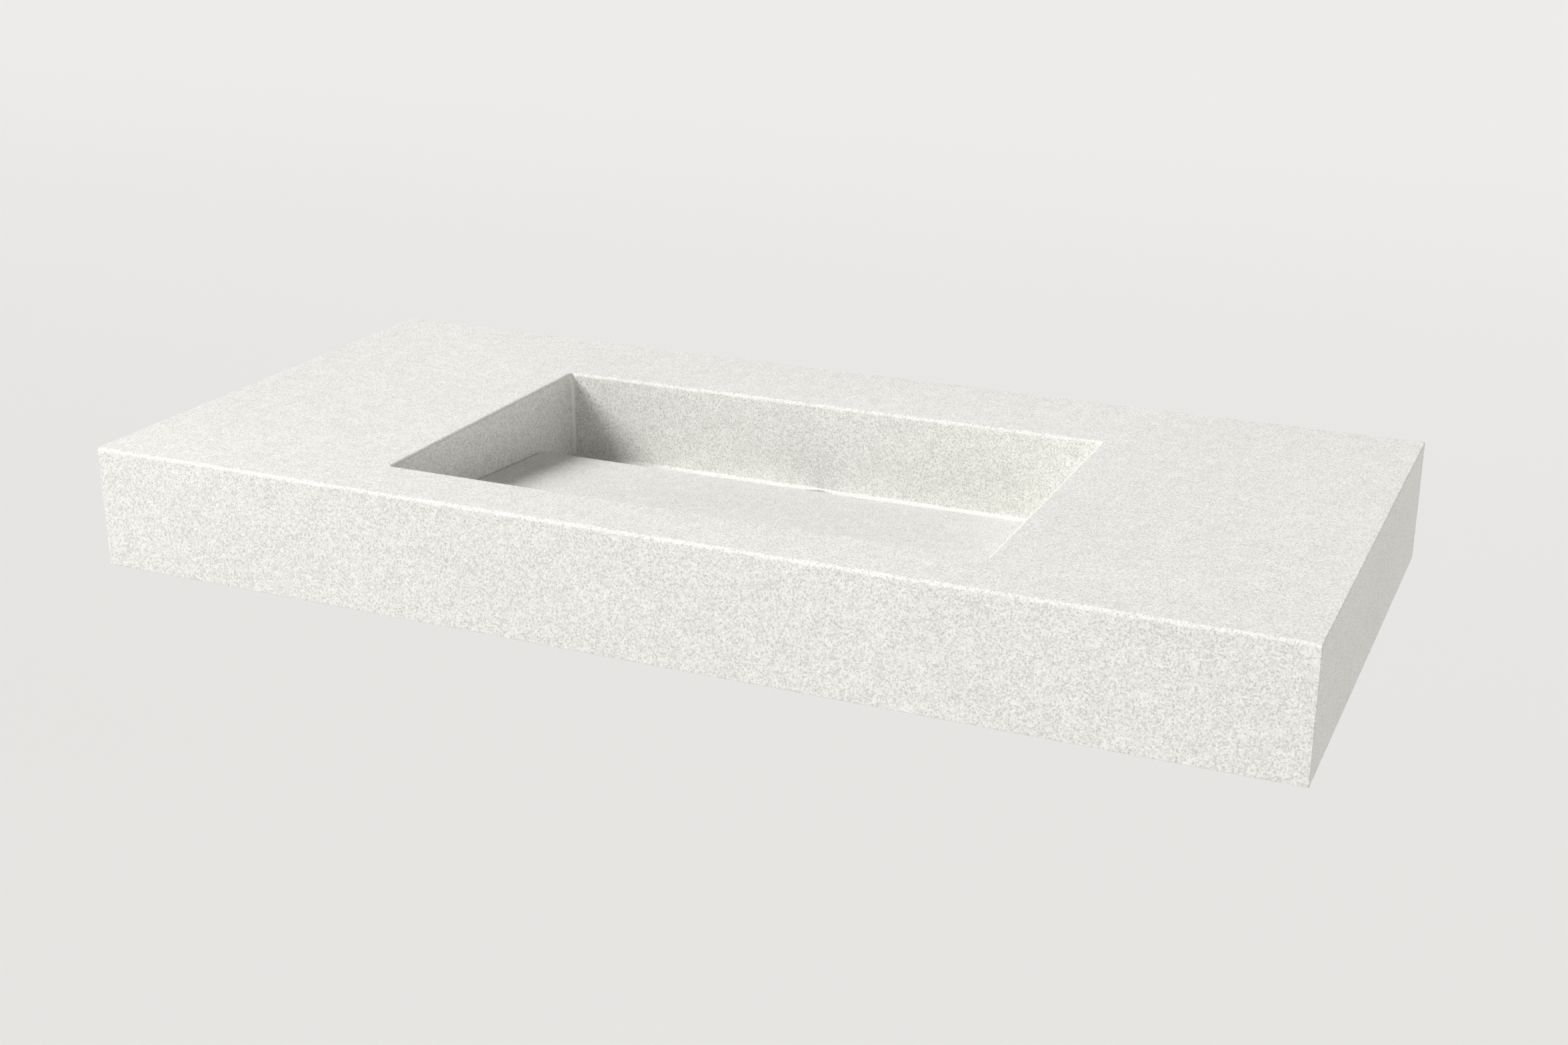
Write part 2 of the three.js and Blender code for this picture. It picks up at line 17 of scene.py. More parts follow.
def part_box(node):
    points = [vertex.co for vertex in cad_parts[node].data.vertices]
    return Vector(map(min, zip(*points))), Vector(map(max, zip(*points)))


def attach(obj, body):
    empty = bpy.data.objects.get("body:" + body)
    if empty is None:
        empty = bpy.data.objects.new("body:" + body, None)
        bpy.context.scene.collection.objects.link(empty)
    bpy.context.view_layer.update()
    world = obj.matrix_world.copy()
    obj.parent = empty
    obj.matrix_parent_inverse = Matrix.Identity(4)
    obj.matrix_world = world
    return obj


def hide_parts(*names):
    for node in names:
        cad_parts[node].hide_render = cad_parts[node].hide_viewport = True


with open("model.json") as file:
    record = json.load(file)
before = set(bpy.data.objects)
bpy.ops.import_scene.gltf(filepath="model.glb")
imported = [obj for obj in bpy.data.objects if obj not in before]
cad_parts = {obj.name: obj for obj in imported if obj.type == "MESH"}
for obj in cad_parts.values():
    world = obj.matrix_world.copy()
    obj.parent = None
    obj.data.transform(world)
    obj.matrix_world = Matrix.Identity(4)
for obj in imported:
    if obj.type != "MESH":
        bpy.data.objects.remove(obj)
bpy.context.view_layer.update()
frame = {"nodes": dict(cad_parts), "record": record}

# ---- Sizes, from the frame -------------------------------------------------------------------

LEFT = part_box("left_end_panel")[0].x
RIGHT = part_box("right_end_panel")[1].x
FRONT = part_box("front_apron")[0].y
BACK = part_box("back_panel")[1].y
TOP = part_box("top_deck")[1].z
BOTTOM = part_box("front_apron")[0].z
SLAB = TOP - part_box("top_deck")[0].z

BOWL_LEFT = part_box("bowl_left_wall")[1].x
BOWL_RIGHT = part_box("bowl_right_wall")[0].x
BOWL_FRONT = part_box("bowl_front_wall")[1].y
BOWL_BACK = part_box("bowl_back_wall")[0].y
TROUGH_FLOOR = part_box("trough_slab")[1].z

# ---- Sizes of the finish ---------------------------------------------------------------------

ARRIS = 0.004  # radius along the front of the deck and round the bowl's rim
EASED = 0.0008  # radius of every other edge of the stone
BOWL_CORNER = 0.0015  # plan radius inside the bowl's corners
BEAD = 0.0026  # radius of the adhesive fillets in the bowl's upright corners
FOOT_BEAD = 0.0022  # and of the stone fillet at the foot of its walls
ARC_STEPS = 10
SMOOTH_BELOW = math.radians(32)  # steeper edges than this stay sharp
TURNED_EDGE = 0.0004  # radius of the corners of turned pieces
NODE_BEVEL = 0.0006  # bevel of the nodes that keep their CAD shape
MERGE_WITHIN = 1e-7
PAST = 0.001  # how far a cutter reaches beyond what it cuts

# ---- Mesh helpers ----------------------------------------------------------------------------


def smooth(piece):
    """Smooth shading that keeps flat faces flat and real edges sharp."""
    piece.data.shade_smooth()
    piece.data.set_sharp_from_angle(angle=SMOOTH_BELOW)
    normals = piece.modifiers.new("weighted_normals", "WEIGHTED_NORMAL")
    normals.keep_sharp = True
    normals.weight = 100


def linked(name, bm):
    """Makes an object of a bmesh and puts it in the scene."""
    bmesh.ops.remove_doubles(bm, verts=bm.verts, dist=MERGE_WITHIN)
    bmesh.ops.recalc_face_normals(bm, faces=bm.faces)
    mesh = bpy.data.meshes.new(name)
    bm.to_mesh(mesh)
    bm.free()
    piece = bpy.data.objects.new(name, mesh)
    bpy.context.scene.collection.objects.link(piece)
    return piece


def finished(piece, material, body="basin", replaces=()):
    """Gives a piece its material and its shading, and ties it to the frame."""
    piece.data.materials.clear()
    piece.data.materials.append(material)
    smooth(piece)
    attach(piece, body)
    if replaces:
        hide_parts(*replaces)


def cut_away(bm, point, normal):
    """Removes what lies beyond a plane, on its normal's side, and closes the cut."""
    geometry = bm.verts[:] + bm.edges[:] + bm.faces[:]
    cut = bmesh.ops.bisect_plane(
        bm, geom=geometry, dist=MERGE_WITHIN, plane_co=point, plane_no=normal, clear_outer=True
    )
    rim = [part for part in cut["geom_cut"] if isinstance(part, bmesh.types.BMEdge)]
    bmesh.ops.holes_fill(bm, edges=rim, sides=0)


def combine(piece, other, operation="DIFFERENCE"):
    """Applies a boolean with another object, which is deleted."""
    step = piece.modifiers.new("combine", "BOOLEAN")
    step.operation = operation
    step.solver = "EXACT"
    step.object = other
    bpy.context.view_layer.update()
    evaluated = piece.evaluated_get(bpy.context.evaluated_depsgraph_get())
    mesh = bpy.data.meshes.new_from_object(evaluated)
    piece.modifiers.clear()
    piece.data = mesh
    bpy.data.objects.remove(other)


def ease(piece, width, steps=2):
    """Rounds a piece's sharp edges with a bevel modifier."""
    bevel = piece.modifiers.new("eased_edges", "BEVEL")
    bevel.width = width
    bevel.segments = steps
    bevel.limit_method = "ANGLE"
    bevel.angle_limit = SMOOTH_BELOW


def skinned(bm, rows, closed_rows=True, closed_columns=False):
    """Joins rows of points with quads. Each row has the same number of points."""
    grid = [[bm.verts.new(point) for point in row] for row in rows]
    row_pairs = list(zip(grid, grid[1:] + grid[:1] if closed_columns else grid[1:]))
    for lower, upper in row_pairs:
        count = len(lower)
        for k in range(count if closed_rows else count - 1):
            after = (k + 1) % count
            bm.faces.new((lower[k], lower[after], upper[after], upper[k]))
    return grid


def capped(bm, rows):
    """Joins closed rows of points with quads, and closes both ends with a face."""
    grid = skinned(bm, rows)
    bm.faces.new(grid[0])
    bm.faces.new(grid[-1])


# ---- Outer slabs -----------------------------------------------------------------------------


def outer_block():
    """The whole block, with its rounded front arris and its other edges eased."""
    bm = bmesh.new()
    size = Vector((RIGHT - LEFT, BACK - FRONT, TOP - BOTTOM))
    middle = Vector((RIGHT + LEFT, BACK + FRONT, TOP + BOTTOM)) / 2
    place = Matrix.Translation(middle) @ Matrix.Diagonal((*size, 1))
    bmesh.ops.create_cube(bm, size=1, matrix=place)

    def on_arris(vert):
        return abs(vert.co.y - FRONT) < EASED and abs(vert.co.z - TOP) < EASED

    arris = [edge for edge in bm.edges if all(on_arris(vert) for vert in edge.verts)]
    round_edges(bm, arris, ARRIS, ARC_STEPS)
    sharp = [edge for edge in bm.edges if edge.calc_face_angle(0) > SMOOTH_BELOW]
    round_edges(bm, sharp, EASED, 3)
    return bm


def round_edges(bm, edges, radius, steps):
    """Rounds edges in the mesh itself."""
    bmesh.ops.bevel(
        bm, geom=edges, offset=radius, offset_type="OFFSET", segments=steps,
        profile=0.5, affect="EDGES", clamp_overlap=False,
    )


FACES = {
    "top": (Vector((0, 0, TOP)), Vector((0, 0, 1))),
    "front": (Vector((0, FRONT, 0)), Vector((0, -1, 0))),
    "left": (Vector((LEFT, 0, 0)), Vector((-1, 0, 0))),
    "right": (Vector((RIGHT, 0, 0)), Vector((1, 0, 0))),
}


def in_order(bm):
    """The same mesh with its parts in order of place, so that each run numbers them alike."""
    verts = sorted(bm.verts, key=lambda vert: tuple(round(value, 6) for value in vert.co))
    number = {vert: k for k, vert in enumerate(verts)}
    rings = []
    for face in bm.faces:
        ring = [number[vert] for vert in face.verts]
        start = ring.index(min(ring))
        rings.append(ring[start:] + ring[:start])
    ordered = bmesh.new()
    points = [ordered.verts.new(vert.co) for vert in verts]
    for ring in sorted(rings):
        ordered.faces.new([points[k] for k in ring])
    bm.free()
    return ordered


def outer_slab(name, face, mitred_with):
    """The block's skin along one face, mitred where it meets the faces named."""
    bm = outer_block()
    point, normal = FACES[face]
    cut_away(bm, point - normal * SLAB, -normal)
    for other in mitred_with:
        other_point, other_normal = FACES[other]
        on_both = point * 1.0
        axis = max(range(3), key=lambda k: abs(other_normal[k]))
        on_both[axis] = other_point[axis]
        cut_away(bm, on_both, other_normal - normal)
    return linked(name, in_order(bm))


# ---- Bowl ------------------------------------------------------------------------------------

CORNER_STEPS = 6
MIDDLE = CORNER_STEPS // 2
PER_CORNER = CORNER_STEPS + 1


def corner_arc(corner, radius):
    """Where a rectangle's rounded corner runs, seen from the centre of its arc. Corner 0 is the
    front left one and the others follow anticlockwise."""
    points = []
    for step in range(PER_CORNER):
        angle = math.pi * (1 + corner / 2) + math.pi / 2 * step / CORNER_STEPS
        points.append((radius * math.cos(angle), radius * math.sin(angle)))
    return points


def bowl_outline(outwards, z):
    """The bowl's outline in plan, moved outwards, anticlockwise from its front left corner."""
    inset = BOWL_CORNER
    centres = [
        (BOWL_LEFT + inset, BOWL_FRONT + inset),
        (BOWL_RIGHT - inset, BOWL_FRONT + inset),
        (BOWL_RIGHT - inset, BOWL_BACK - inset),
        (BOWL_LEFT + inset, BOWL_BACK - inset),
    ]
    return [
        Vector((x + across, y + along, z))
        for k, (x, y) in enumerate(centres)
        for across, along in corner_arc(k, inset + outwards)
    ]


def rim_arc(start, end):
    """(outwards, z) along the rim's arris: 0 degrees is on the deck, 90 on the bowl's wall."""
    steps = ARC_STEPS // 2
    points = []
    for k in range(steps + 1):
        angle = math.radians(start + (end - start) * k / steps)
        points.append((ARRIS * (1 - math.sin(angle)), TOP - ARRIS * (1 - math.cos(angle))))
    return points


def bowl_cutter():
    """The space to take out of the deck: the rim's upper arris, then the mitre below it."""
    past = SLAB + EASED
    profile = [(ARRIS, TOP + SLAB), *rim_arc(0, 45), (past, TOP - past)]
    bm = bmesh.new()
    capped(bm, [bowl_outline(u, z) for u, z in profile])
    return linked("bowl_cutter", bm)


def bowl_wall(name, index):
    """One wall of the bowl, mitred to its neighbours halfway round each corner."""
    profile = [
        (0, TROUGH_FLOOR),
        *reversed(rim_arc(45, 90)),
        (SLAB, TOP - SLAB),
        (SLAB, TROUGH_FLOOR),
    ]
    first = PER_CORNER * index + MIDDLE
    places = [(first + k) % (4 * PER_CORNER) for k in range(PER_CORNER + 1)]
    rows = []
    for u, z in profile:
        outline = bowl_outline(u, z)
        rows.append([outline[k] for k in places])
    bm = bmesh.new()
    grid = skinned(bm, rows, closed_rows=False, closed_columns=True)
    bm.faces.new([row[0] for row in grid])
    bm.faces.new([row[-1] for row in grid])
    return linked(name, bm)


def concave_profile(radius):
    """A fillet's section in a right-angled corner: (along one wall, along the other)."""
    points = [(0.0, 0.0)]
    for k in range(ARC_STEPS + 1):
        angle = math.pi / 2 * k / ARC_STEPS
        points.append((radius * (1 - math.sin(angle)), radius * (1 - math.cos(angle))))
    return points


def foot_outline(inwards, z):
    """The bowl's outline with square corners, moved inwards, which a fillet wider than the
    corners' own radius follows."""
    left, right = BOWL_LEFT + inwards, BOWL_RIGHT - inwards
    front, back = BOWL_FRONT + inwards, BOWL_BACK - inwards
    corners = ((left, front), (right, front), (right, back), (left, back))
    return [Vector((x, y, z)) for x, y in corners]


def trough_bead():
    """The ground fillet all round the foot of the bowl's walls."""
    rows = [foot_outline(u, TROUGH_FLOOR + w) for u, w in concave_profile(FOOT_BEAD)]
    bm = bmesh.new()
    skinned(bm, rows, closed_columns=True)
    return linked("trough_bead", bm)


def corner_bead(name, x, y, across, along):
    """The fillet of adhesive in one upright corner of the bowl."""
    section = [(x + across * u, y + along * w) for u, w in concave_profile(BEAD)]
    heights = (TROUGH_FLOOR, TOP - 2 * ARRIS)
    bm = bmesh.new()
    grid = skinned(bm, [[Vector((px, py, z)) for px, py in section] for z in heights])
    tip = bm.verts.new((x, y, TOP - ARRIS))
    for k, vert in enumerate(grid[1]):
        bm.faces.new((vert, grid[1][(k + 1) % len(section)], tip))
    bm.faces.new(grid[0])
    return linked(name, bm)


# ---- Ramp ------------------------------------------------------------------------------------


def ramp_tilt():
    """The ramp's slope, from the largest upward face of its CAD solid."""
    faces = [face for face in frame["nodes"]["ramp"].data.polygons if face.normal.z > 0.9]
    surface = max(faces, key=lambda face: face.area)
    return math.atan2(surface.normal.y, surface.normal.z)


def ramp(tilt):
    """The loose slab, with a rounded back edge and round front corners, tilted into place."""
    low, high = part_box("ramp")
    front_edge = Vector((0, low.y + SLAB * math.sin(tilt), high.z))
    half = (high.x - low.x) / 2
    length = (high.y - front_edge.y) / math.cos(tilt)
    front_radius, back_radius, eased, ease_steps = 0.006, 0.0015, 0.0012, 5

    def outline(inset, z):
        points = []
        for k, (x, y, radius) in enumerate([
            (-half, 0, front_radius), (half, 0, front_radius),
            (half, length, back_radius), (-half, length, back_radius),
        ]):
            cx = x - math.copysign(radius, x)
            cy = y + radius if y == 0 else y - radius
            for across, along in corner_arc(k, radius - inset):
                points.append(Vector((cx + across, cy + along, z)))
        return points

    steps = [math.pi / 2 * k / ease_steps for k in range(ease_steps + 1)]
    lower = [(eased * (1 - math.sin(a)), -SLAB + eased * (1 - math.cos(a))) for a in steps]
    upper = [(eased * (1 - math.cos(a)), -eased * (1 - math.sin(a))) for a in steps]
    bm = bmesh.new()
    capped(bm, [outline(inset, z) for inset, z in lower + upper])
    bm.transform(Matrix.Translation(front_edge) @ Matrix.Rotation(-tilt, 4, "X"))
    return linked("ramp_slab", bm)


# ---- Turned pieces, nuts and plates ----------------------------------------------------------

TURNED_SIDES = 96
DRILL_SIDES = 40
SHORT_SIDE = 0.45  # the most that a rounded corner takes of a side
NUT_EDGE = 0.0003
PLATE_EDGE = 0.0006
PLATE_CORNER = 0.005


def ring_points(centre, radius, height, sides=TURNED_SIDES):
    """The corners of an upright prism with many sides, at one height."""
    angles = [2 * math.pi * k / sides for k in range(sides)]
    return [
        Vector((centre.x + radius * math.cos(a), centre.y + radius * math.sin(a), height))
        for a in angles
    ]


def eased_outline(outline, radius, steps=4):
    """Rounds the corners of a closed outline, apart from those on the axis."""
    points = []
    for k, (u, w) in enumerate(outline):
        corner = Vector((u, w))
        if u == 0:
            points.append(corner)
            continue
        before = Vector(outline[k - 1]) - corner
        after = Vector(outline[(k + 1) % len(outline)]) - corner
        reach = min(radius, SHORT_SIDE * before.length, SHORT_SIDE * after.length)
        start, end = corner + before.normalized() * reach, corner + after.normalized() * reach
        for step in range(steps + 1):
            t = step / steps
            points.append(start * (1 - t) ** 2 + corner * 2 * t * (1 - t) + end * t * t)
    return points


def turned(name, outline, centre, radius=TURNED_EDGE):
    """A closed (radius, height) outline turned about an upright axis, with its corners rounded."""
    bm = bmesh.new()
    rows = [ring_points(centre, u, w) for u, w in eased_outline(outline, radius)]
    skinned(bm, rows, closed_columns=True)
    return linked(name, bm)


def drills(radius, span, places):
    """Upright cylinders to cut holes with, in one object."""
    bm = bmesh.new()
    for place in places:
        capped(bm, [ring_points(place, radius, z, DRILL_SIDES) for z in span])
    return linked("drills", bm)


def middle_of(node):
    """The middle of a node's box."""
    low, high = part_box(node)
    return (low + high) / 2


def half_width(node):
    """Half of a node's size along X."""
    low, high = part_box(node)
    return (high.x - low.x) / 2


def span_of(node):
    """A node's lowest and highest heights."""
    low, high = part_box(node)
    return low.z, high.z


def washer(name, node, inner, radius=TURNED_EDGE):
    """A ring in the place of a node: its own outer radius and heights, and the bore given."""
    low, high = span_of(node)
    outer = half_width(node)
    outline = [(inner, low), (outer, low), (outer, high), (inner, high)]
    return turned(name, outline, middle_of(node), radius)


def hexagon(name, centre, corner, span, chamfered):
    """A hexagonal prism. Its corners are chamfered at the ends named: 0 is the lower one."""
    bm = bmesh.new()
    capped(bm, [ring_points(centre, corner, z, 6) for z in span])
    prism = linked(name, bm)
    flat = corner * math.cos(math.pi / 6) * 0.98  # just inside the flats
    outside = corner * 1.02  # just outside the corners
    rise = (outside - flat) * math.tan(math.radians(30))
    ends = [flat if k in chamfered else outside for k in (0, 1)]
    outline = [
        (0, span[0]), (ends[0], span[0]), (outside, span[0] + rise),
        (outside, span[1] - rise), (ends[1], span[1]), (0, span[1]),
    ]
    combine(prism, turned("chamfer", outline, centre, 0), "INTERSECT")
    return prism


def nut(name, node, bore):
    """A hexagon nut in the place of a node, chamfered at both ends."""
    span = span_of(node)
    centre = middle_of(node)
    piece = hexagon(name, centre, half_width(node), span, (0, 1))
    combine(piece, drills(bore, (span[0] - PAST, span[1] + PAST), [centre]))
    ease(piece, NUT_EDGE)
    return piece


def rounded_plate(name, low, high, thin, corner):
    """A flat plate between two corners, thin along one axis (0 is X, 1 is Y and 2 is Z), with
    round corners in its plane."""
    u, w = (axis for axis in range(3) if axis != thin)
    bm = bmesh.new()
    rows = []
    for level in (low[thin], high[thin]):
        row = []
        for k, (cu, cw) in enumerate([
            (low[u] + corner, low[w] + corner), (high[u] - corner, low[w] + corner),
            (high[u] - corner, high[w] - corner), (low[u] + corner, high[w] - corner),
        ]):
            for across, along in corner_arc(k, corner):
                point = Vector((0, 0, 0))
                point[thin] = level
                point[u] = cu + across
                point[w] = cw + along
                row.append(point)
        rows.append(row)
    capped(bm, rows)
    return linked(name, bm)


# ---- Waste -----------------------------------------------------------------------------------

BODY_RADIUS = 0.021  # outside of the waste body's thread
BODY_BORE = 0.018
FLANGE_THICK = 0.0024
SEAT_DEPTH = 0.0012  # of the step in the flange that takes the strainer
TAIL_RADIUS = 0.016
TAIL_BORE = 0.0145
TAIL_SEAL_BORE = 0.015
THREAD_PITCH = 0.0021
THREAD_DEPTH = 0.0008
THREAD_ROWS = 8  # per pitch
THREAD_GAP = 0.0004
OVER_THREAD = BODY_RADIUS + THREAD_GAP
SEAL_GAP = 0.0015
SEAL_EDGE = 0.0012


def thread_outline(radius, low, high):
    """Closely spaced points up the outside of a thread."""
    count = round((high - low) / THREAD_PITCH * THREAD_ROWS)
    return [(radius, low + (high - low) * k / count) for k in range(count + 1)]


def waste_body():
    """The flanged body, with a real helical thread from under the stone to its lower end."""
    low, high = span_of("waste_body")
    flange = half_width("waste_body")
    under = high - FLANGE_THICK
    seat, seat_height = half_width("strainer") + THREAD_GAP, high - SEAT_DEPTH
    bottom, top = low + 0.002, span_of("flange_seal")[0] - 0.004
    outline = [
        (BODY_BORE, low), (BODY_RADIUS - THREAD_DEPTH, low),
        *thread_outline(BODY_RADIUS, bottom, top),
        (BODY_RADIUS, under), (flange, under), (flange, under + 0.0008),
        (flange - 0.0006, high - 0.0006), (flange - 0.0022, high),
        (seat, high), (seat, seat_height), (BODY_BORE, seat_height),
    ]
    centre = middle_of("waste_body")
    bm = bmesh.new()
    rows = []
    for radius, height in eased_outline(outline, 0.0004, 2):
        row = ring_points(centre, radius, height)
        if radius > BODY_RADIUS - 1e-6 and bottom < height < top:
            fade = min(1, (height - bottom) / THREAD_PITCH, (top - height) / THREAD_PITCH)
            for k, point in enumerate(row):
                phase = height / THREAD_PITCH + k / TURNED_SIDES
                groove = THREAD_DEPTH * fade * (0.5 - 0.5 * math.cos(2 * math.pi * phase))
                outwards = (point - Vector((centre.x, centre.y, height))).normalized()
                point -= outwards * groove
        rows.append(row)
    skinned(bm, rows, closed_columns=True)
    return linked("waste_flange", bm)


def strainer():
    """The lift-out grid: a disc with two rings of holes, a collar and a small knob."""
    low, high = span_of("strainer")
    radius = half_width("strainer")
    centre = middle_of("strainer")
    collar_height, knob_height = 0.008, 0.005
    under, top = low + collar_height, high - knob_height
    collar, wall, neck, knob = BODY_BORE - 0.0006, 0.0016, 0.0018, 0.0032
    outline = [
        (0, under), (collar - wall, under), (collar - wall, low), (collar, low), (collar, under),
        (radius, under), (radius, top - 0.0005), (radius - 0.0012, top), (0.0022, top),
        (neck, top + 0.0022), (knob, top + 0.003), (knob, high - 0.0004), (0.002, high),
        (0, high),
    ]
    piece = turned("strainer_grid", outline, centre, 0.0005)
    hole, inner_ring, outer_ring = 0.0021, 0.0074, 0.0126
    holes = [*ring_points(centre, inner_ring, 0, 6), *ring_points(centre, outer_ring, 0, 12)]
    combine(piece, drills(hole, (under - PAST, top + PAST), holes))
    ease(piece, 0.0002)
    return piece


def tailpiece():
    """The outlet tube: a collar inside the body, and an end with a rolled lip."""
    low, high = span_of("tailpiece")
    collar = half_width("tailpiece")
    step = span_of("waste_body")[0]
    tube = TAIL_RADIUS - 0.0004
    outline = [
        (TAIL_BORE, low), (tube, low), (TAIL_RADIUS, low + 0.0006), (TAIL_RADIUS, low + 0.002),
        (tube, low + 0.003), (tube, step), (collar, step), (collar, high), (TAIL_BORE, high),
    ]
    return turned("outlet_tube", outline, middle_of("tailpiece"), 0.0005)


def trough_slab():
    """The trough's floor, with the round recess and the hole that take the waste."""
    low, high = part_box("trough_slab")
    piece = rounded_plate("trough_floor", low, high, thin=2, corner=0.001)
    centre = middle_of("waste_body")
    recess, hole, floor_height, flare = 0.034, 0.023, high.z - 0.003, 0.0008
    below, above = low.z - PAST, high.z + PAST
    outline = [
        (0, below), (hole + flare, below), (hole + flare, low.z), (hole, low.z + flare),
        (hole, floor_height), (recess, floor_height), (recess, high.z - flare),
        (recess + flare, high.z), (recess + flare, above), (0, above),
    ]
    combine(piece, turned("recess", outline, centre, 0))
    return piece


def bumper(name, node, tilt):
    """A small domed rubber disc, level with the ramp's underside."""
    radius, half = 0.006, 0.001
    outline = [
        (0, -half), (radius, -half), (radius, half * 0.2), (radius * 0.85, half * 0.75), (0, half),
    ]
    piece = turned(name, outline, Vector((0, 0, 0)), 0.0005)
    piece.data.transform(Matrix.Translation(middle_of(node)) @ Matrix.Rotation(-tilt, 4, "X"))
    return piece


# ---- Brackets --------------------------------------------------------------------------------

PLATE_HOLE = 0.0055
PLATE_HOLES_ACROSS = (-0.018, 0.018)  # from the plate's middle
PLATE_HOLE_HEIGHTS = (-0.042, 0.028)
SCREW_SHANK = 0.004
SCREW_HOLE = 0.0045
SCREW_HEAD = 0.005
SCREW_POINT = 0.006
WASHER_HOLE = 0.0044
WELD_SIZE = 0.0035
WELD_RIPPLE = 0.0022
WELD_STEP = 0.0007
WELD_TAPER = 0.004


def wall_plate(name, node):
    """A plate against the wall, with four holes. They are drilled flat and then turned over."""
    low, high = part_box(node)
    piece = rounded_plate(name, low, high, thin=1, corner=PLATE_CORNER)
    middle = (low + high) / 2
    flat = [
        Vector((middle.x + across, height, 0))
        for across in PLATE_HOLES_ACROSS
        for height in PLATE_HOLE_HEIGHTS
    ]
    through = (-0.01, 0.02)
    holes = drills(PLATE_HOLE, through, flat)
    holes.data.transform(Matrix.Rotation(math.pi / 2, 4, "X"))
    combine(piece, holes)
    ease(piece, PLATE_EDGE)
    return piece


def bracket_arm(name, node, screws):
    """A flat bar that the basin lies on, with a hole for each screw."""
    low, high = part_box(node)
    piece = rounded_plate(name, low, high, thin=2, corner=PLATE_CORNER)
    places = [middle_of(screw) for screw in screws]
    combine(piece, drills(SCREW_HOLE, (low.z - PAST, high.z + PAST), places))
    ease(piece, PLATE_EDGE)
    return piece


def screw(name, node):
    """A coach screw: a chamfered hexagon head and its shank."""
    low, high = span_of(node)
    centre = middle_of(node)
    head = low + SCREW_HEAD
    piece = hexagon(name, centre, half_width(node), (low, head), (0,))
    inside = head - PAST
    shank = [(0, inside), (SCREW_SHANK, inside), (SCREW_SHANK, high - SCREW_POINT), (0, high)]
    combine(piece, turned("shank", shank, centre, NUT_EDGE), "UNION")
    ease(piece, NUT_EDGE)
    return piece


def weld(name, start, end, along_a, along_b):
    """A rippled fillet weld from start to end, in the corner between two directions."""
    way = Vector(end) - Vector(start)
    count = int(way.length / WELD_STEP)
    section = [(0, 0), (1, 0), (0.8, 0.38), (0.62, 0.62), (0.38, 0.8), (0, 1)]
    rows = []
    for k in range(count + 1):
        travelled = k * WELD_STEP
        ripple = 1 + 0.10 * abs(math.sin(math.pi * travelled / WELD_RIPPLE))
        to_end = min(travelled, way.length - travelled)
        taper = min(1, 0.5 + to_end / WELD_TAPER)
        size = WELD_SIZE * ripple * taper
        middle = Vector(start) + way * k / count
        rows.append([
            middle + Vector(along_a) * size * u + Vector(along_b) * size * w for u, w in section
        ])
    bm = bmesh.new()
    capped(bm, rows)
    return linked(name, bm)


# ---- Materials -------------------------------------------------------------------------------


class Surface:
    """A node material, built up node by node."""

    def __init__(self, name, **settings):
        self.material = bpy.data.materials.new(name)
        self.material.use_nodes = True
        self.tree = self.material.node_tree
        self.shader = self.tree.nodes["Principled BSDF"]
        for key, value in settings.items():
            self.shader.inputs[key.replace("_", " ")].default_value = value
        self.place = self.tree.nodes.new("ShaderNodeTexCoord").outputs["Object"]

    def link(self, output, socket):
        self.tree.links.new(output, socket)

    def node(self, kind, inputs=None, **settings):
        node = self.tree.nodes.new(kind)
        for key, value in settings.items():
            setattr(node, key, value)
        for key, value in (inputs or {}).items():
            if isinstance(value, bpy.types.NodeSocket):
                self.link(value, node.inputs[key])
            else:
                node.inputs[key].default_value = value
        return node

    def noise(self, scale, detail=2.0, roughness=0.5, stretch=None):
        vector = self.place
        if stretch:
            mapping = self.node("ShaderNodeMapping", {"Vector": vector, "Scale": stretch})
            vector = mapping.outputs["Vector"]
        inputs = {"Vector": vector, "Scale": scale, "Detail": detail, "Roughness": roughness}
        return self.node("ShaderNodeTexNoise", inputs).outputs["Fac"]

    def ramp(self, value, *stops):
        """Maps 0..1 to colours. Each stop is (place, colour)."""
        node = self.node("ShaderNodeValToRGB", {"Fac": value})
        elements = node.color_ramp.elements
        for element, (place, color) in zip(elements, (stops[0], stops[-1])):
            element.position = place
            element.color = (*color, 1)
        for place, color in stops[1:-1]:
            elements.new(place).color = (*color, 1)
        return node.outputs["Color"]

    def mix(self, factor, a, b, mode="MIX"):
        node = self.node("ShaderNodeMix", data_type="RGBA", blend_type=mode)
        for socket, value in zip((node.inputs[0], node.inputs[6], node.inputs[7]), (factor, a, b)):
            if isinstance(value, bpy.types.NodeSocket):
                self.link(value, socket)
            else:
                socket.default_value = value
        return node.outputs[2]

    def bump(self, height, distance, strength=1.0):
        inputs = {"Height": height, "Distance": distance, "Strength": strength}
        output = self.node("ShaderNodeBump", inputs).outputs["Normal"]
        self.link(output, self.shader.inputs["Normal"])

    def rough(self, value, low, high):
        inputs = {"Value": value, "To Min": low, "To Max": high}
        output = self.node("ShaderNodeMapRange", inputs).outputs["Result"]
        self.link(output, self.shader.inputs["Roughness"])

    def color(self, output):
        self.link(output, self.shader.inputs["Base Color"])


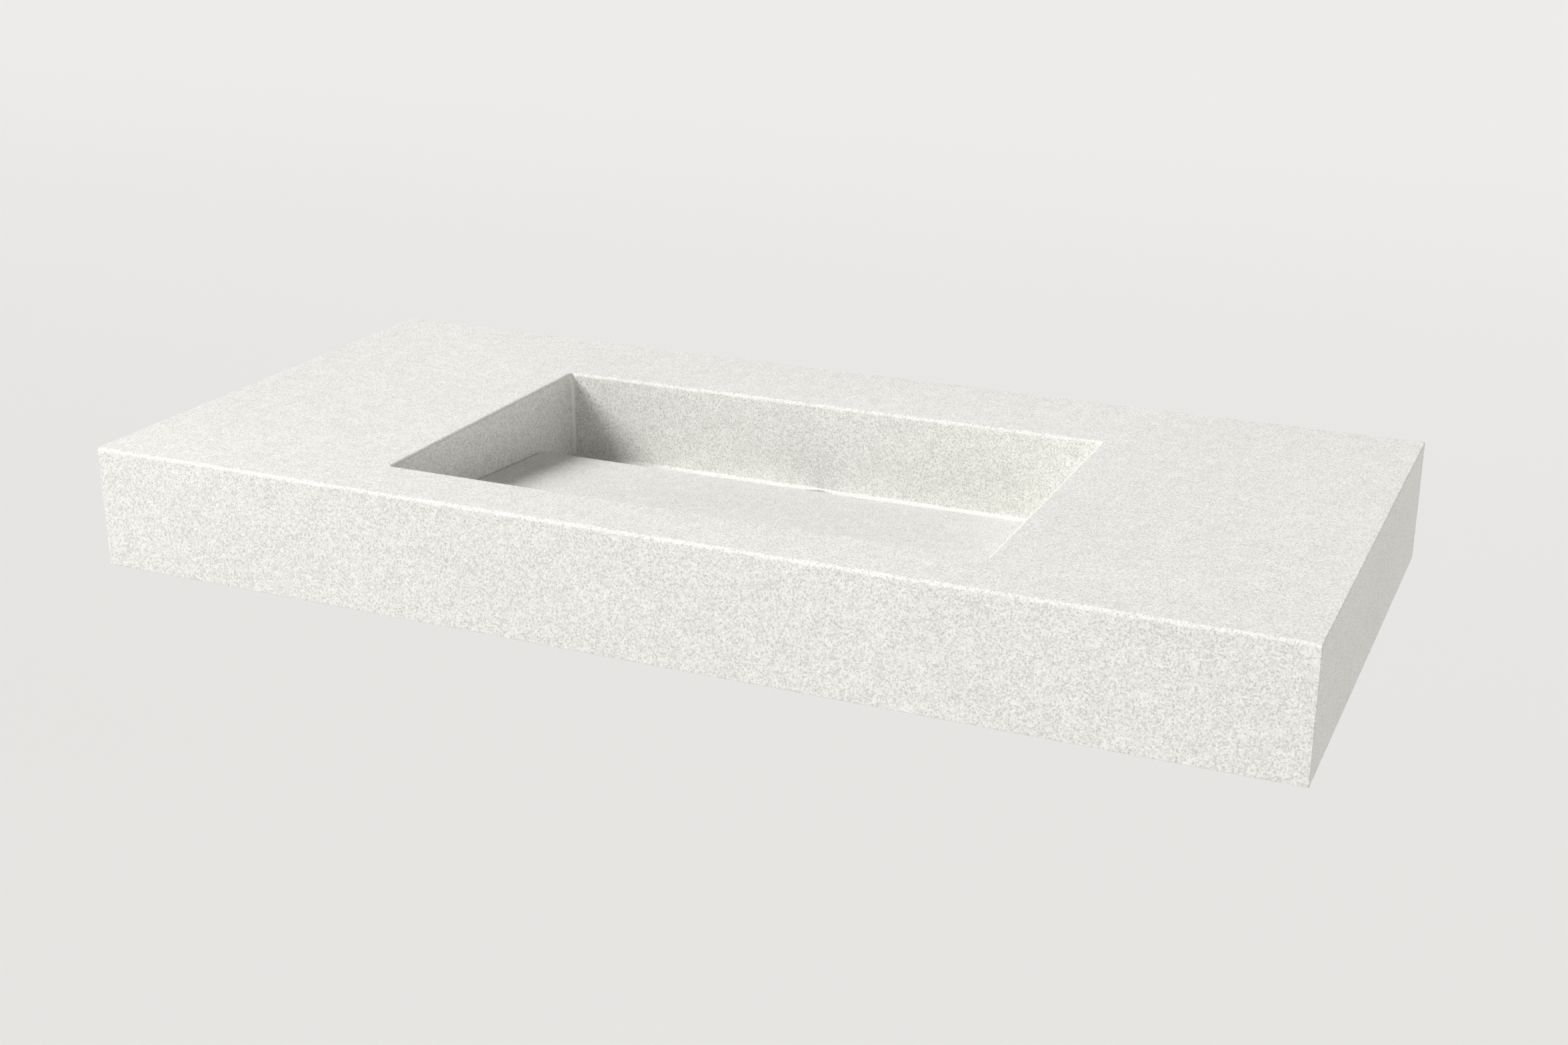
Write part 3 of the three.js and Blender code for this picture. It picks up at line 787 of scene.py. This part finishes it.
def stone(name):
    """Honed engineered stone: a pale ground full of fine grey and white grains."""
    surface = Surface(name, Specular_IOR_Level=0.15)
    drift = surface.noise(5.0, 3.0)
    ground = surface.ramp(drift, (0.3, (0.81, 0.81, 0.771)), (0.7, (0.84, 0.84, 0.800)))
    grain = surface.noise(560.0, 4.0, 0.75)
    clusters = surface.noise(75.0, 2.0)
    grained = surface.ramp(
        grain, (0.34, (0.66, 0.66, 0.65)), (0.5, (1, 1, 1)), (0.66, (1.2, 1.2, 1.2))
    )
    color = surface.mix(1.0, ground, grained, "MULTIPLY")
    uneven = surface.ramp(clusters, (0.35, (0.965, 0.965, 0.96)), (0.65, (1.02, 1.02, 1.02)))
    color = surface.mix(1.0, color, uneven, "MULTIPLY")
    cells = surface.node("ShaderNodeTexVoronoi", {"Vector": surface.place, "Scale": 430.0})
    pick = surface.node("ShaderNodeSeparateColor", {"Color": cells.outputs["Color"]}).outputs["Red"]
    spot = surface.ramp(cells.outputs["Distance"], (0.22, (1, 1, 1)), (0.40, (0, 0, 0)))
    for stops, shade in (
        (((0.87, (0, 0, 0)), (0.89, (1, 1, 1))), (0.55, 0.55, 0.53)),
        (((0.08, (1, 1, 1)), (0.10, (0, 0, 0))), (0.95, 0.95, 0.93)),
    ):
        chosen = surface.mix(1.0, spot, surface.ramp(pick, *stops), "MULTIPLY")
        color = surface.mix(chosen, color, (*shade, 1))
    surface.color(color)
    surface.rough(grain, 0.45, 0.62)
    surface.bump(grain, 0.00005)
    return surface.material


def paste_and_painted_highlight():
    """The stone's own paste without its grains, painted a shade lighter than the stone: a painted
    highlight along the bowl's upright corners.
    """
    surface = Surface("joint_paste_and_painted_highlight", Roughness=0.5, Specular_IOR_Level=0.3)
    tone = surface.noise(60.0, 2.0)
    # painted highlight: the paste's colour is lighter than the stone, so the upright corners show a
    # light line
    surface.color(surface.ramp(tone, (0.3, (0.90, 0.90, 0.86)), (0.7, (0.94, 0.94, 0.90))))
    return surface.material


def plywood(name, stacked):
    """Birch plywood whose plies are stacked along the axis named."""
    surface = Surface(name, Roughness=0.6)
    waves = {"Vector": surface.place, "Scale": 85.0, "Distortion": 0.6, "Detail": 2.0}
    plies = surface.node("ShaderNodeTexWave", waves, bands_direction=stacked).outputs["Fac"]
    fibres = surface.noise(40.0, 4.0, 0.6, stretch=(6.0, 0.6, 6.0))
    wood = surface.ramp(fibres, (0.3, (0.42, 0.27, 0.13)), (0.7, (0.62, 0.44, 0.25)))
    layered = surface.ramp(plies, (0.35, (0.72, 0.66, 0.6)), (0.6, (1, 1, 1)))
    surface.color(surface.mix(0.6, wood, surface.mix(1.0, wood, layered, "MULTIPLY")))
    surface.bump(fibres, 0.0002)
    return surface.material


def powder_coat():
    """Black powder coat with a fine orange-peel surface."""
    surface = Surface("powder_coat", Metallic=0.0, Specular_IOR_Level=0.5)
    pebble = surface.noise(900.0, 2.0, 0.5)
    tone = surface.noise(25.0)
    surface.color(surface.ramp(tone, (0.3, (0.022, 0.023, 0.025)), (0.7, (0.032, 0.033, 0.036))))
    surface.rough(pebble, 0.38, 0.52)
    surface.bump(pebble, 0.00008)
    return surface.material


def metal(name, color, low, high, scale=60.0):
    """A bare or plated metal with a faint, uneven polish."""
    surface = Surface(name, Metallic=1.0)
    tone = surface.noise(scale, 4.0, 0.6)
    darker = tuple(channel * 0.94 for channel in color)
    surface.color(surface.ramp(tone, (0.35, darker), (0.65, color)))
    surface.rough(tone, low, high)
    return surface.material


def rubber():
    """Matt black rubber."""
    surface = Surface("rubber", Specular_IOR_Level=0.3)
    tone = surface.noise(300.0, 3.0)
    surface.color(surface.ramp(tone, (0.3, (0.018, 0.018, 0.019)), (0.7, (0.03, 0.03, 0.032))))
    surface.rough(tone, 0.65, 0.85)
    surface.bump(tone, 0.0001)
    return surface.material


def nylon():
    """Off-white moulded nylon."""
    surface = Surface("nylon", Subsurface_Weight=0.1)
    tone = surface.noise(80.0)
    surface.color(surface.ramp(tone, (0.3, (0.78, 0.76, 0.70)), (0.7, (0.84, 0.82, 0.76))))
    surface.rough(tone, 0.35, 0.5)
    return surface.material


STONE = stone("stone")
MATERIALS = {
    "stone": STONE,
    "plywood": plywood("plywood_upright", "X"),
    "bracket_steel": powder_coat(),
    "zinc": metal("zinc_plate", (0.62, 0.65, 0.68), 0.28, 0.42),
    "chrome": metal("chrome", (0.86, 0.87, 0.88), 0.16, 0.26),
    "brass": metal("turned_brass", (0.72, 0.52, 0.22), 0.22, 0.36, 200.0),
    "rubber": rubber(),
    "nylon": nylon(),
}
PASTE_AND_PAINTED_HIGHLIGHT = paste_and_painted_highlight()
CROSS_PLYWOOD = plywood("plywood_across", "Y")

# ---- Stone pieces ----------------------------------------------------------------------------

deck = outer_slab("deck_slab", "top", ["front", "left", "right"])
combine(deck, bowl_cutter())
finished(deck, STONE, replaces=["top_deck"])
apron = outer_slab("apron_slab", "front", ["top", "left", "right"])
finished(apron, STONE, replaces=["front_apron"])
for side in ("left", "right"):
    end = outer_slab(f"{side}_end_slab", side, ["top", "front"])
    finished(end, STONE, replaces=[f"{side}_end_panel"])
for index, side in enumerate(("front", "right", "back", "left")):
    wall = bowl_wall(f"bowl_{side}_slab", index)
    finished(wall, STONE, replaces=[f"bowl_{side}_wall"])
TILT = ramp_tilt()
finished(ramp(TILT), STONE, body="ramp", replaces=["ramp"])
finished(trough_slab(), STONE, replaces=["trough_slab"])

finished(trough_bead(), STONE)
for row, y, along in (("front", BOWL_FRONT, 1), ("back", BOWL_BACK, -1)):
    for side, x, across in (("left", BOWL_LEFT, 1), ("right", BOWL_RIGHT, -1)):
        finished(corner_bead(f"corner_bead_{row}_{side}", x, y, across, along), PASTE_AND_PAINTED_HIGHLIGHT)

# ---- Waste, bumpers and brackets -------------------------------------------------------------


def fitted(piece, node, slot, body="basin"):
    """Finishes a piece that stands for one CAD node, in its slot's material."""
    finished(piece, MATERIALS[slot], body, [node])


fitted(waste_body(), "waste_body", "chrome")
fitted(strainer(), "strainer", "chrome", "strainer")
fitted(tailpiece(), "tailpiece", "chrome")
fitted(nut("backnut_turned", "backnut", OVER_THREAD), "backnut", "brass")
locknut = nut("locknut_turned", "tailpiece_locknut", TAIL_RADIUS + THREAD_GAP)
fitted(locknut, "tailpiece_locknut", "chrome")
fitted(washer("flange_gasket", "flange_seal", BODY_RADIUS + SEAL_GAP), "flange_seal", "rubber")
fitted(washer("lower_gasket", "lower_seal", OVER_THREAD, SEAL_EDGE), "lower_seal", "rubber")
fitted(washer("slip_ring", "slip_washer", OVER_THREAD), "slip_washer", "nylon")
fitted(washer("tail_gasket", "tailpiece_seal", TAIL_SEAL_BORE), "tailpiece_seal", "rubber")

for side in ("left", "right"):
    for row in ("front", "back"):
        node = f"ramp_bumper_{side}_{row}"
        fitted(bumper(f"bumper_{side}_{row}", node, TILT), node, "rubber")

    plate, arm, web = f"wall_plate_{side}", f"bracket_arm_{side}", f"bracket_web_{side}"
    screws = [f"bracket_screw_{side}_{row}" for row in ("front", "rear")]
    fitted(wall_plate(f"bracket_plate_{side}", plate), plate, "bracket_steel")
    fitted(bracket_arm(f"bracket_bar_{side}", arm, screws), arm, "bracket_steel")
    for row, node in zip(("front", "rear"), screws):
        fitted(screw(f"coach_screw_{side}_{row}", node), node, "zinc")
        ring = f"bracket_washer_{side}_{row}"
        fitted(washer(f"flat_washer_{side}_{row}", ring, WASHER_HOLE), ring, "zinc")

    arm_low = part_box(arm)[0]
    web_low, web_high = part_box(web)
    plate_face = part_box(plate)[0].y
    for which, x, outwards in (("inner", web_low.x, -1), ("outer", web_high.x, 1)):
        tip = (x, web_low.y + 0.004, arm_low.z)
        root = (x, plate_face - WELD_SIZE, arm_low.z)
        bead = weld(f"weld_arm_{side}_{which}", tip, root, (outwards, 0, 0), (0, 0, -1))
        finished(bead, MATERIALS["bracket_steel"])
        foot = (x, plate_face, web_low.z + 0.002)
        top = (x, plate_face, arm_low.z)
        bead = weld(f"weld_web_{side}_{which}", foot, top, (outwards, 0, 0), (0, -1, 0))
        finished(bead, MATERIALS["bracket_steel"])

# ---- CAD nodes that keep their shape ---------------------------------------------------------

slots = {entry["node"]: entry["material_slot"] for entry in frame["record"]["subparts"]}
for name, node in frame["nodes"].items():
    if node.hide_render:
        continue
    across = name.startswith("cross_rail") or name.endswith("stiffener")
    node.data.materials.clear()
    node.data.materials.append(CROSS_PLYWOOD if across else MATERIALS[slots[name]])
    ease(node, NODE_BEVEL)

# ---- Floor, light and camera -----------------------------------------------------------------

RIM_HEIGHT = 2.50  # above the floor: so low that the basin's shadow stays out of the views
FLOOR_HALF = 300.0


def floor():
    """A matt floor with painted light: its colour gets a little paler far behind the basin."""
    z = TOP - RIM_HEIGHT
    bm = bmesh.new()
    level = Matrix.Translation((0, 0, z))
    bmesh.ops.create_grid(bm, x_segments=1, y_segments=1, size=FLOOR_HALF, matrix=level)
    ground = linked("floor", bm)
    surface = Surface("floor_painted_paler_far", Roughness=0.9, Specular_IOR_Level=0.1)
    depth = surface.node("ShaderNodeSeparateXYZ", {"Vector": surface.place}).outputs["Y"]
    away = surface.node("ShaderNodeMapRange", {"Value": depth, "From Min": 2.9, "From Max": 15.9})
    # painted light: the near and far colours paint the floor paler towards the back
    near, far = (0.825, 0.825, 0.80), (0.90, 0.90, 0.885)
    surface.color(surface.ramp(away.outputs["Result"], (0.0, near), (1.0, far)))
    ground.data.materials.append(surface.material)


def sun(name, travel, strength, softness, color):
    """A distant soft light. travel is the direction that its light goes, softness its width in
    degrees."""
    data = bpy.data.lights.new(name, "SUN")
    data.energy = strength
    data.angle = math.radians(softness)
    data.color = color
    lamp = bpy.data.objects.new(name, data)
    lamp.rotation_euler = Vector(travel).to_track_quat("-Z", "Y").to_euler()
    bpy.context.scene.collection.objects.link(lamp)


def softbox(name, place, aim, diameter, watts):
    """A round area light that points from place at aim."""
    data = bpy.data.lights.new(name, "AREA")
    data.shape = "DISK"
    data.size = diameter
    data.energy = watts
    lamp = bpy.data.objects.new(name, data)
    lamp.location = place
    lamp.rotation_euler = (Vector(aim) - Vector(place)).to_track_quat("-Z", "Y").to_euler()
    bpy.context.scene.collection.objects.link(lamp)


def sky(overhead, left, right, back, front, color, seen):
    """A studio dome. Each strength is what is added low down on that side of the dome, on top of
    the even strength overhead. The camera sees a plain backdrop in its place, which gets paler
    towards the back as the floor does."""
    world = bpy.data.worlds.new("studio")
    world.use_nodes = True
    nodes, links = world.node_tree.nodes, world.node_tree.links

    def link_or_set(socket, value):
        if isinstance(value, bpy.types.NodeSocket):
            links.new(value, socket)
        else:
            socket.default_value = value

    def compute(operation, *values):
        node = nodes.new("ShaderNodeMath")
        node.operation = operation
        for socket, value in zip(node.inputs, values):
            link_or_set(socket, value)
        return node.outputs[0]

    def squared(value):
        return compute("MULTIPLY", value, value)

    way = nodes.new("ShaderNodeSeparateXYZ")
    links.new(nodes.new("ShaderNodeTexCoord").outputs["Generated"], way.inputs[0])
    low = compute("POWER", compute("SUBTRACT", 1.0, compute("ABSOLUTE", way.outputs["Z"])), 3.0)
    to_left = squared(compute("MINIMUM", way.outputs["X"], 0.0))
    to_right = squared(compute("MAXIMUM", way.outputs["X"], 0.0))
    to_back = squared(compute("MAXIMUM", way.outputs["Y"], 0.0))
    to_front = squared(compute("MINIMUM", way.outputs["Y"], 0.0))
    around = compute("MULTIPLY", to_left, left)
    around = compute("MULTIPLY_ADD", to_right, right, around)
    around = compute("MULTIPLY_ADD", to_back, back, around)
    around = compute("MULTIPLY_ADD", to_front, front, around)
    dome = nodes["Background"]
    dome.inputs["Color"].default_value = (*color, 1)
    links.new(compute("MULTIPLY_ADD", low, around, overhead), dome.inputs["Strength"])
    backdrop = nodes.new("ShaderNodeBackground")
    backdrop.inputs["Color"].default_value = (*seen, 1)
    paler = compute("MULTIPLY_ADD", way.outputs["Y"], 0.06, 1.0)
    links.new(paler, backdrop.inputs["Strength"])
    either = nodes.new("ShaderNodeMixShader")
    links.new(nodes.new("ShaderNodeLightPath").outputs["Is Camera Ray"], either.inputs[0])
    links.new(dome.outputs[0], either.inputs[1])
    links.new(backdrop.outputs[0], either.inputs[2])
    links.new(either.outputs[0], nodes["World Output"].inputs[0])
    bpy.context.scene.world = world


def camera():
    """The camera at the basin's front right, above its rim."""
    data = bpy.data.cameras.new("camera")
    data.lens = 47.935
    data.sensor_width = 36.0
    eye = bpy.data.objects.new("camera", data)
    azimuth, elevation, roll = (math.radians(angle) for angle in (23.87, 20.10, 0.10))
    turn = Matrix.Rotation(azimuth, 4, "Z") @ Matrix.Rotation(math.pi / 2 - elevation, 4, "X")
    place = Matrix.Translation((0.8189, -2.0821, 0.7042))
    eye.matrix_world = place @ turn @ Matrix.Rotation(roll, 4, "Z")
    bpy.context.scene.collection.objects.link(eye)
    bpy.context.scene.camera = eye


floor()
sun("key", travel=(0.96, 0.50, -1.0), strength=3.17, softness=27.0, color=(1.0, 0.993, 1.0))
softbox("left_fill", place=(-1.2, -1.32, 1.15), aim=(-0.55, -0.48, 0.0), diameter=0.9, watts=5.6)
sky(
    overhead=0.152, left=0.60, right=1.50, back=2.27, front=0.80,
    color=(1.0, 0.975, 0.985), seen=(0.806, 0.806, 0.79),
)
camera()
bpy.context.scene.view_settings.view_transform = "Standard"
